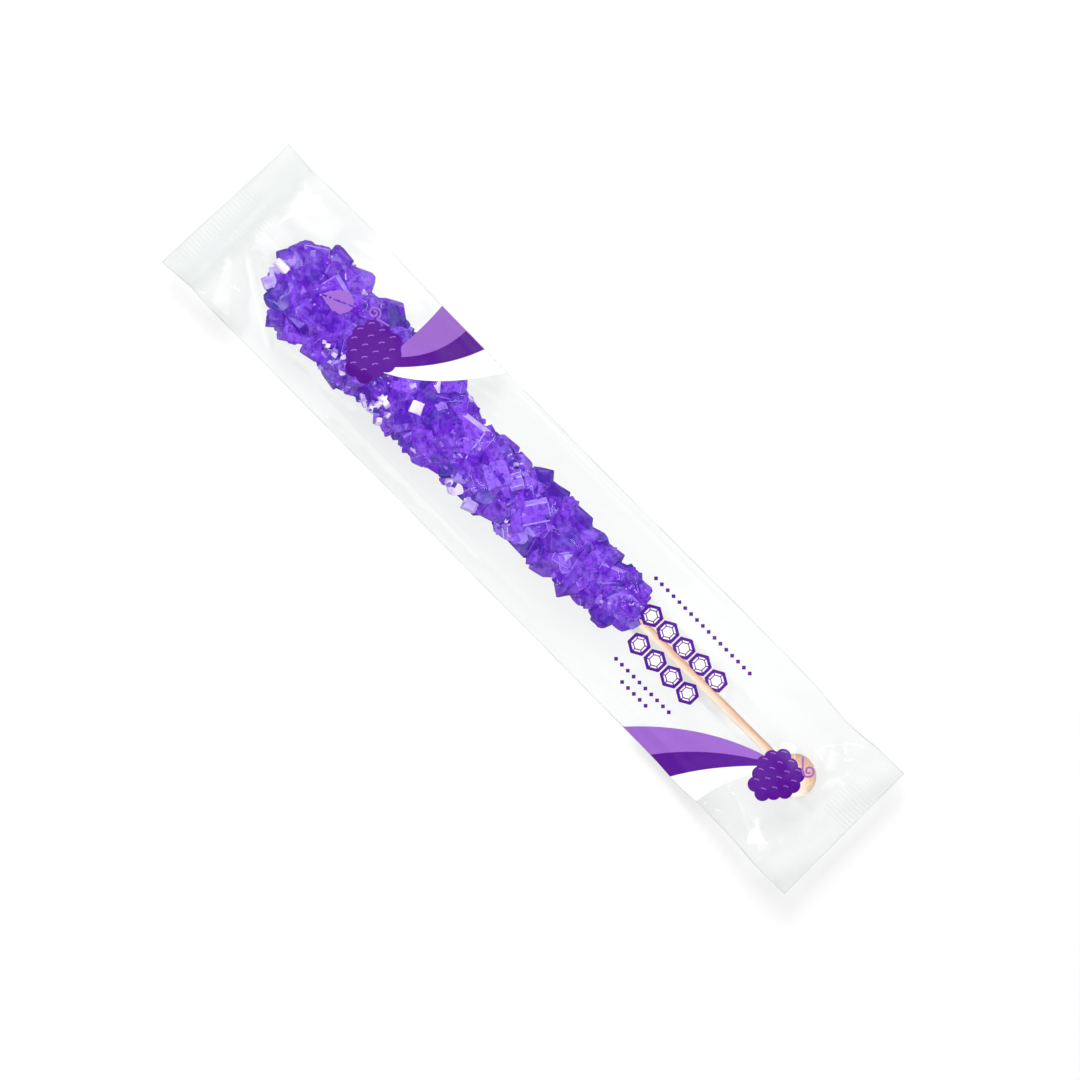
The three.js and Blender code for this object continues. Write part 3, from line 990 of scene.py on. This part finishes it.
class Candy:
    """The crystals grown so far: one mesh's points and faces, and a tone for each face."""

    def __init__(self, film_tree):
        self.film_tree = film_tree
        self.draw = random.Random(CRYSTAL_SEED)
        self.forms = [crystal_form(self.draw) for _ in range(CRYSTAL_FORMS)]
        self.facets = random.Random(CRYSTAL_SEED)
        self.crystals = []

    def random_shape(self, length):
        """A crystal of this length, turned any way, round the origin."""
        draw = self.draw
        points, faces = self.forms[draw.randrange(CRYSTAL_FORMS)]
        turn = Euler([draw.uniform(0, 2 * math.pi) for _ in range(3)]).to_matrix()
        shape = np.diag([length, length * draw.uniform(0.8, 1.2), length * draw.uniform(0.8, 1.3)])
        return points @ shape @ np.array(turn).T, faces

    def random_tone(self):
        draw = self.draw
        chance = draw.random()
        if chance < DARK_SHARE:
            return draw.uniform(*DARK_TONES)
        if chance > 1 - BRIGHT_SHARE:
            return draw.uniform(*BRIGHT_TONES)
        return draw.uniform(*VIOLET_TONES)

    def take(self, points, faces, tone):
        """Adds a crystal, moved to lie inside the film; some get painted glints on their rims."""
        points = kept_inside(points, self.film_tree)
        if points is None:
            return
        glint_rims = self.draw.random() < GLINT_RIMS
        tones = []
        for face in faces:
            rim = glint_rims and len(face) == 4 and is_sliver(points[face])
            facet = tone + self.facets.uniform(-FACET_TONES, FACET_TONES) * tone * (1 - tone) * 4
            tones.append(lerp(tone, 1, RIM_GLINT) if rim else facet)
        self.crystals.append((points, faces, tones))

    def cover(self):
        """Crystals all over the candy's outline, from the largest down."""
        draw = self.draw
        for count, long, proud in CRYSTALS:
            for k in range(count):
                share = ((k + draw.random()) / count) ** TIP_CROWDING
                angle = GOLDEN_TURN * k + draw.uniform(-0.5, 0.5)
                length = draw.uniform(*long) * lerp(*SIZE_ALONG, share)
                points, faces = self.random_shape(length)
                skin, out = candy_skin(share, angle)
                if crowds_showpiece(skin):
                    continue
                stands = float((points @ np.array(out)).max())
                centre = skin + out * (draw.uniform(*proud) - stands)
                self.take(points + np.array(centre), faces, self.random_tone())

    def hold_up(self, grid):
        """A crystal under each peak of the film, with its highest corner against it."""
        for x, y, height in film_peaks(grid):
            if crowds_showpiece(Vector((x, y, height))):
                continue
            points, faces = self.random_shape(self.draw.uniform(*PROP_LONG))
            corner = points[int(points[:, 2].argmax())]
            spot = np.array([x, y, height - FILM_GAP])
            self.take(points - corner + spot, faces, self.random_tone())

    def place_showpieces(self):
        """The few crystals that stand out, each lying with a broad face up."""
        for form, at, size, spin, tip, tone, bare in SHOWPIECES:
            points, faces = self.forms[form]
            turn = Euler((math.radians(tip[0]), math.radians(tip[1]), 0)).to_matrix()
            spin = Euler((0, 0, math.radians(spin))).to_matrix()
            least, most = points.min(axis=0), points.max(axis=0)
            shape = np.diag(np.array(size) / (most - least))
            points = (points - (least + most) / 2) @ shape @ np.array(spin @ turn).T
            points = kept_inside(points + np.array([*at, high.z]), self.film_tree)
            if bare:
                self.bare(points)
            self.take(points, faces, tone)

    def bare(self, showpiece):
        """Takes away the crystals that lie over a showpiece."""
        least, most = showpiece.min(axis=0), showpiece.max(axis=0)
        shares = product((0.25, 0.5, 0.75), repeat=2)
        spots = [lerp(least[:2], most[:2], np.array(share)) for share in shares]
        self.crystals = [
            crystal
            for crystal in self.crystals
            if not any(stands_over(crystal[0], spot, most[2] - BARE_DEPTH) for spot in spots)
        ]

    def sprinkle(self):
        """Small grains on the crystals, on top of the candy and under it."""
        draw = random.Random(GRAIN_SEED)
        points, faces, _ = self.joined()
        tree = BVHTree.FromPolygons(points, faces)
        self.draw = draw
        for count, along, across, under, long, light in GRAINS:
            for _ in range(count):
                x = draw.uniform(*along)
                y = candy_centre(x).y + draw.uniform(*across) * candy_reach(x)
                up = -1 if draw.random() < under else 1
                spot = met(tree, x, y, up)
                shape, sides = self.random_shape(draw.uniform(*long))
                is_light = draw.random() < light
                tone = draw.uniform(*LIGHT_GRAIN) if is_light else self.random_tone()
                if spot is not None:
                    self.take(shape + np.array(spot), sides, tone)

    def joined(self):
        """All the crystals as one mesh: its points, its faces and their tones."""
        all_points, all_faces, all_tones = [], [], []
        for points, faces, tones in self.crystals:
            first = len(all_points)
            all_points += [tuple(p) for p in points]
            all_faces += [[first + k for k in face] for face in faces]
            all_tones += tones
        return all_points, all_faces, all_tones


def crowds_showpiece(spot):
    """Whether a crystal on top of the candy would cover one of the showpieces."""
    if spot.z < stick_centre(spot.x).z:
        return False
    return any(
        math.dist(spot[:2], at) < 0.5 * max(size[:2]) + SHOWPIECE_ROOM
        for _, at, size, *_ in SHOWPIECES
    )


def stands_over(points, spot, height):
    """Whether a crystal's box spans the spot and reaches over the height."""
    least, most = points.min(axis=0), points.max(axis=0)
    return bool((least[:2] < spot).all() and (most[:2] > spot).all() and most[2] > height)


def is_sliver(corners):
    """Whether a four-sided face is long and narrow."""
    sides = np.linalg.norm(corners - np.roll(corners, 1, axis=0), axis=1)
    return sides.min() < SLIVER * sides.max()


def film_peaks(grid):
    """The tops of the film's knobs over the candy: x, y and height of each."""
    x, y, top, _ = grid
    highest = top.copy()
    for i in range(-PEAK_STATIONS, PEAK_STATIONS + 1):
        for j in range(-PEAK_COLUMNS, PEAK_COLUMNS + 1):
            highest = np.maximum(highest, np.roll(top, (i, j), axis=(0, 1)))
    peaks = []
    for i, j in zip(*np.nonzero(top >= highest)):
        off = abs(y[i, j] - candy_centre(x[i, j]).y)
        if off < PEAK_SPAN * candy_reach(x[i, j]):
            peaks.append((x[i, j], y[i, j], top[i, j]))
    return peaks


def overshoot(points, film_tree, up):
    """How far the points stand past the film's top (up 1) or back (up -1)."""
    most = -math.inf
    for x, y, z in points:
        hit = met(film_tree, x, y, up)
        if hit is None:
            return None
        most = max(most, up * (z - hit.z) + FILM_GAP)
    return most


def kept_inside(points, film_tree):
    """The points moved down or up until the film clears them, or None if they can't fit."""
    for up in (1, -1):
        over = overshoot(points, film_tree, up)
        if over is None:
            return None
        if over > 0:
            points = points - np.array([0, 0, up * over])
    if over > 0 and overshoot(points, film_tree, 1) > 0:
        return None
    return points


def rock_candy(grid, film_tree, material):
    candy = Candy(film_tree)
    candy.cover()
    candy.hold_up(grid)
    candy.place_showpieces()
    candy.sprinkle()
    points, faces, tones = candy.joined()
    piece = new_object("rock_candy_crystals", points, faces, material, smooth=False)
    set_attribute(piece, "tone", tones, "FACE")
    return piece


def candy_core(material):
    """The solid sugar between the stick and the crystals."""
    draw = random.Random(CORE_SEED)
    start, end = CANDY_TIP + CORE_INSET, CANDY_TIP + CANDY_LENGTH - CORE_INSET
    points, faces, tones = [], [], []
    for i in range(CORE_RINGS + 1):
        x = lerp(start, end, i / CORE_RINGS)
        for j in range(CORE_AROUND):
            angle = 2 * math.pi * (j + 0.5 * (i % 2)) / CORE_AROUND
            reach = candy_reach(x) * CORE_SHARE * draw.uniform(*CORE_ROUGH)
            point = candy_point(x, angle, reach)
            points.append((point.x + draw.uniform(-0.4, 0.4), point.y, point.z))
            tones.append(draw.uniform(0.1, 0.6))
    for a, b, c, d in grid_faces(CORE_RINGS + 1, CORE_AROUND):
        faces += [(a, b, c), (a, c, d)]
    faces += end_faces(CORE_RINGS + 1, CORE_AROUND)
    piece = new_object("rock_candy_core", points, faces, material, smooth=False)
    set_attribute(piece, "tone", tones)
    return piece


# ---- the stick and its ball ----

def turned(name, rings, material, painted_light_shift=0.0):
    """A closed solid round the stick's axis, from rings of (centre, radius)."""
    points, sides = [], []
    for centre, radius in rings:
        for j in range(WOOD_AROUND):
            angle = 2 * math.pi * j / WOOD_AROUND
            # For the wood's painted light and shade: 1 on the +Y side, -1 on the -Y side, less the
            # shift.
            sides.append(math.cos(angle) - painted_light_shift)
            rough = 1 + 0.008 * math.sin(5 * angle + centre.x) + 0.006 * math.sin(11 * angle)
            out = Vector((0, math.cos(angle), math.sin(angle))) * radius * rough
            points.append(tuple(centre + out))
    faces = grid_faces(len(rings), WOOD_AROUND) + end_faces(len(rings), WOOD_AROUND)
    piece = new_object(name, points, faces, material)
    set_attribute(piece, "side", sides)
    piece.data.set_sharp_from_angle(angle=WOOD_SHARP)
    return piece


def wooden_stick(material):
    end = BALL_X - BALL_RADIUS + STICK_IN_BALL
    xs = [lerp(STICK_START, end, k / STICK_RINGS) for k in range(STICK_RINGS + 1)]
    rings = [(stick_centre(x), STICK_RADIUS * (1 + 0.012 * math.sin(0.7 * x))) for x in xs]
    return turned("wooden_stick", rings, material)


def wooden_ball(material):
    """A turned ball with a small flat at its far end and a collar at the stick."""
    centre = Vector((BALL_X, stick_centre(BALL_X).y, BALL_HEIGHT))
    rings = []
    for k in range(BALL_RINGS + 1):
        angle = lerp(BALL_FROM, BALL_TO, k / BALL_RINGS)
        groove = 1 + 0.006 * math.sin(angle * 18)
        along = -math.cos(angle) * BALL_RADIUS
        rings.append((centre + Vector((along, 0, 0)), BALL_RADIUS * math.sin(angle) * groove))
    return turned("wooden_ball", rings, material, painted_light_shift=BALL_PAINTED_LIGHT)


# ---- the print ----

def between(a, b, t):
    """A plan point between two others."""
    return (lerp(a[0], b[0], t), lerp(a[1], b[1], t))


def curve_point(ends, t):
    """A point on the curve that starts at the first, bends to the second, ends at the third."""
    a, b, c = ends
    return between(between(a, b, t), between(b, c, t), t)


def circle_point(centre, radius, angle):
    return (centre[0] + radius * math.cos(angle), centre[1] + radius * math.sin(angle))


def row_steps(count, pitch):
    """Where so many things in a row stand, from its middle."""
    return [(k - (count - 1) / 2) * pitch for k in range(count)]


class Print:
    """Inks on the film: flat shapes laid on its surface, one object for each ink."""

    def __init__(self, film_tree):
        self.film_tree = film_tree
        self.layers = {}

    def lay(self, x, y, lift):
        """A point on the film's top, no further out than its creased sides."""
        right, left = side_y(x)
        y = min(max(y, right + PRINT_INSET), left - PRINT_INSET)
        return (x, y, met(self.film_tree, x, y).z + lift)

    def grid(self, ink, rows, closed=False, order=0):
        """A sheet through rows of plan points, all of one length."""
        points, faces = self.layers.setdefault(ink, ([], []))
        first = len(points)
        for row in rows:
            points.extend(self.lay(x, y, INK_LIFT + order * INK_STEP) for x, y in row)
        for face in grid_faces(len(rows), len(rows[0]), closed):
            faces.append(tuple(first + k for k in face))

    def band(self, ink, left, right):
        """The field between two curves."""
        steps, across = FAN_STEPS
        rows = []
        for i in range(steps + 1):
            a, b = curve_point(left, i / steps), curve_point(right, i / steps)
            rows.append([between(a, b, j / across) for j in range(across + 1)])
        self.grid(ink, rows)

    def ring(self, ink, centre, outer, inner, corners=0, turn=0.0, sweep=1.0, order=0):
        """A ring, a disc or an arc; with corners, a polygon in place of a circle."""
        deep = max(1, round((outer - inner) / RING_STEP))
        count = RING_AROUND if sweep == 1.0 else round(RING_AROUND * sweep) + 1
        rows = []
        for i in range(deep + 1):
            radius = lerp(outer, max(inner, PINHOLE), i / deep)
            row = []
            for j in range(count):
                angle = turn + 2 * math.pi * j / RING_AROUND
                flat = 1.0
                if corners:
                    side = math.pi / corners
                    flat = math.cos(side) / math.cos((angle - turn) % (2 * side) - side)
                row.append(circle_point(centre, radius * flat, angle))
            rows.append(row)
        self.grid(ink, rows, closed=sweep == 1.0, order=order)

    def line(self, ink, points, width, order=0):
        """A stroke through plan points."""
        rows = []
        for k, (x, y) in enumerate(points):
            before, after = points[max(k - 1, 0)], points[min(k + 1, len(points) - 1)]
            across = Vector((before[1] - after[1], after[0] - before[0])).normalized() * width / 2
            rows.append([(x - across.x, y - across.y), (x + across.x, y + across.y)])
        self.grid(ink, rows, order=order)

    def pieces(self, materials):
        for ink, (points, faces) in self.layers.items():
            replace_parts(new_object("print_" + ink, points, faces, materials[ink]), NODE)


def bunch(press, middle, turn, scale):
    """Round berries in rows, each with a small highlight."""
    across = Vector((math.cos(turn), math.sin(turn))) * scale
    down = Vector((math.sin(turn), -math.cos(turn))) * scale
    radius = BERRY_RADIUS * scale
    layer = 1
    for row, count in zip(row_steps(len(BERRY_ROWS), BERRY_DROP), BERRY_ROWS):
        for step in row_steps(count, BERRY_PITCH):
            spot = Vector(middle) + across * step + down * row
            press.ring("violet_ink", spot, radius, 0, order=layer)
            arc = {"turn": turn + GLINT_TURN, "sweep": GLINT_SWEEP, "order": layer + 0.5}
            outer, inner = (share * radius for share in GLINT_SPAN)
            press.ring("lavender_ink", spot, outer, inner, **arc)
            layer += 0.25


def leaf(press, root, turn, order):
    """A pointed, toothed leaf in two halves, with its midrib left bare."""
    along = Vector((math.cos(turn), math.sin(turn)))
    across = Vector((-along.y, along.x))
    for side in (-1, 1):
        rows = []
        for i in range(LEAF_STEPS + 1):
            share = i / LEAF_STEPS
            tooth = 1 - LEAF_TOOTH * (share * LEAF_TEETH % 1)
            width = LEAF_WIDTH / 2 * math.sin(math.pi * share**0.7) ** 0.9 * tooth + 0.02
            spine = root + along * LEAF_LENGTH * share
            near = min(LEAF_RIB / 2, width * 0.5)
            rows.append([spine + across * side * lerp(near, width, j / 4) for j in range(5)])
        press.grid("lavender_ink", [[(p.x, p.y) for p in row] for row in rows], order=order)


def curl(press, middle, turn, tail, order):
    """A tendril that winds up on itself, at the end of a stalk."""
    points = []
    for i in range(CURL_STEPS + 1):
        angle = turn + CURL_WIND * i / CURL_STEPS
        radius = CURL_RADIUS * (1 - CURL_SHRINK * i / CURL_STEPS)
        points.append(circle_point(middle, radius, angle))
    stalk = [between(tail, points[0], k / 6) for k in range(6)]
    press.line("lavender_ink", stalk + points, CURL_LINE, order=order)


def gem(press, centre):
    """A cut gem seen from above: white in a violet outline, with facet lines."""
    turn = math.pi / 6
    rim, line = GEM_RADIUS - GEM_RIM, GEM_LINE / 2
    press.ring("violet_ink", centre, GEM_RADIUS, rim, corners=6, turn=turn, order=2)
    press.ring("white_ink", centre, rim + 0.1, 0, corners=6, turn=turn, order=1)
    table = GEM_TABLE * GEM_RADIUS
    press.ring("violet_ink", centre, table + line, table - line, corners=6, turn=turn, order=2)
    for k in range(6):
        way = Vector((math.cos(turn + k * math.pi / 3), math.sin(turn + k * math.pi / 3)))
        inner, outer = Vector(centre) + way * table, Vector(centre) + way * (rim + 0.2)
        steps = [tuple(inner.lerp(outer, i / 3)) for i in range(4)]
        press.line("violet_ink", steps, GEM_LINE, order=2)


def print_film(film_tree, materials):
    press = Print(film_tree)
    for curves in FANS:
        for ink, left, right in zip(FAN_INKS, curves, curves[1:]):
            press.band(ink, left, right)
    for middle, turn, scale in BUNCHES:
        bunch(press, middle, math.radians(turn), scale)
    leaf(press, Vector(LEAF_ROOT), LEAF_TURN, 1)
    for middle, turn, tail in CURLS:
        curl(press, middle, math.radians(turn), tail, 6)
    for count, (x, y) in GEM_ROWS:
        for step in row_steps(count, GEM_PITCH):
            gem(press, (x + step, y))
    for count, (x, y) in DIAMOND_ROWS:
        for step in row_steps(count, DIAMOND_PITCH):
            press.ring("violet_ink", (x + step, y), DIAMOND_RADIUS, 0, corners=4, order=1)
    press.pieces(materials)


# ---- stage, camera and lights ----

def pale_floor():
    mesh = bpy.data.meshes.new("floor")
    reach = FLOOR_REACH * MM
    corners = [(-reach, -reach, 0), (reach, -reach, 0), (reach, reach, 0), (-reach, reach, 0)]
    mesh.from_pydata(corners, [], [(0, 1, 2, 3)])
    mesh.materials.append(floor_material())
    floor = in_scene("floor", mesh)
    return floor


PICTURE_RIGHT = Vector((math.cos(AXIS_TURN), math.sin(AXIS_TURN), 0))
PICTURE_UP = Vector((-math.sin(AXIS_TURN), math.cos(AXIS_TURN), 0))


def place_camera():
    data = bpy.data.cameras.new("camera")
    camera = in_scene("camera", data)
    off_right = (PHOTO_SIDE / 2 - PHOTO_MIDDLE[0]) * MM_PER_PIXEL
    off_up = -(PHOTO_SIDE / 2 - PHOTO_MIDDLE[1]) * MM_PER_PIXEL
    spot = PICTURE_RIGHT * off_right + PICTURE_UP * off_up
    spot.z = CAMERA_HEIGHT + EDGE_HEIGHT
    camera.location = spot * MM
    camera.rotation_euler = (0, 0, AXIS_TURN)
    data.sensor_width = SENSOR
    data.lens = SENSOR * CAMERA_HEIGHT / (PHOTO_SIDE * MM_PER_PIXEL)
    data.clip_end = 20
    bpy.context.scene.camera = camera


def lamp(name):
    """One of LAMPS, facing the pouch."""
    size, power, (right, up, height) = LAMPS[name]
    is_sun = not isinstance(size, tuple)
    data = bpy.data.lights.new(name, "SUN" if is_sun else "AREA")
    data.energy = power
    if is_sun:
        data.angle = math.radians(size)
    else:
        data.shape = "RECTANGLE"
        data.size, data.size_y = size
    light = in_scene(name, data)
    light.location = PICTURE_RIGHT * right + PICTURE_UP * up + Vector((0, 0, height))
    light.rotation_euler = light.location.to_track_quat("Z", "Y").to_euler()
    return light


def light_studio(floor, ball):
    """Soft light from above, small lamps for the gloss, and two that light one piece each."""
    lights = {name: lamp(name) for name in LAMPS}
    lights["overhead"].visible_glossy = False
    for name, piece in (("low_lamp", floor), ("ball_fill", ball)):
        lit = bpy.data.collections.new("lit_by_" + name)
        lit.objects.link(piece)
        lights[name].light_linking.receiver_collection = lit
    world = bpy.data.worlds.new("studio")
    world.use_nodes = True
    background = world.node_tree.nodes["Background"]
    background.inputs["Color"].default_value = SKY_COLOUR
    background.inputs["Strength"].default_value = SKY_STRENGTH
    bpy.context.scene.world = world
    bpy.context.scene.view_settings.view_transform = "Standard"


# ---- the object ----

film = film_material()
film_grid = film_surface()
film_piece = film_shell(film_grid, film)
fin_piece = fin_strip(film)
film_tree = tree_of(film_piece.data)

sugar = candy_material(
    "rock_candy",
    dark=(0.056, 0.006, 0.385),
    light=(0.290, 0.132, 0.790),
    bright=(0.780, 0.640, 0.920),
)
crystals = rock_candy(film_grid, film_tree, sugar)
core = candy_core(sugar)

wood = wood_material()
stick = wooden_stick(wood)
ball = wooden_ball(wood)

for piece in (film_piece, fin_piece, crystals, core, stick, ball):
    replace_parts(piece, NODE)
# With so many clear layers over each other, the renderer would make these shadows black.
for piece in (crystals, stick, ball):
    piece.visible_shadow = False

inks = {
    "violet_ink": ink_material("violet_ink", (0.080, 0.003, 0.235), (0.070, 0.002, 0.218)),
    "lavender_ink": ink_material("lavender_ink", (0.275, 0.112, 0.485), (0.250, 0.098, 0.455)),
    "white_ink": ink_material("white_ink", (0.780, 0.780, 0.785), (0.765, 0.765, 0.772)),
}
print_film(film_tree, inks)

floor = pale_floor()
place_camera()
light_studio(floor, ball)
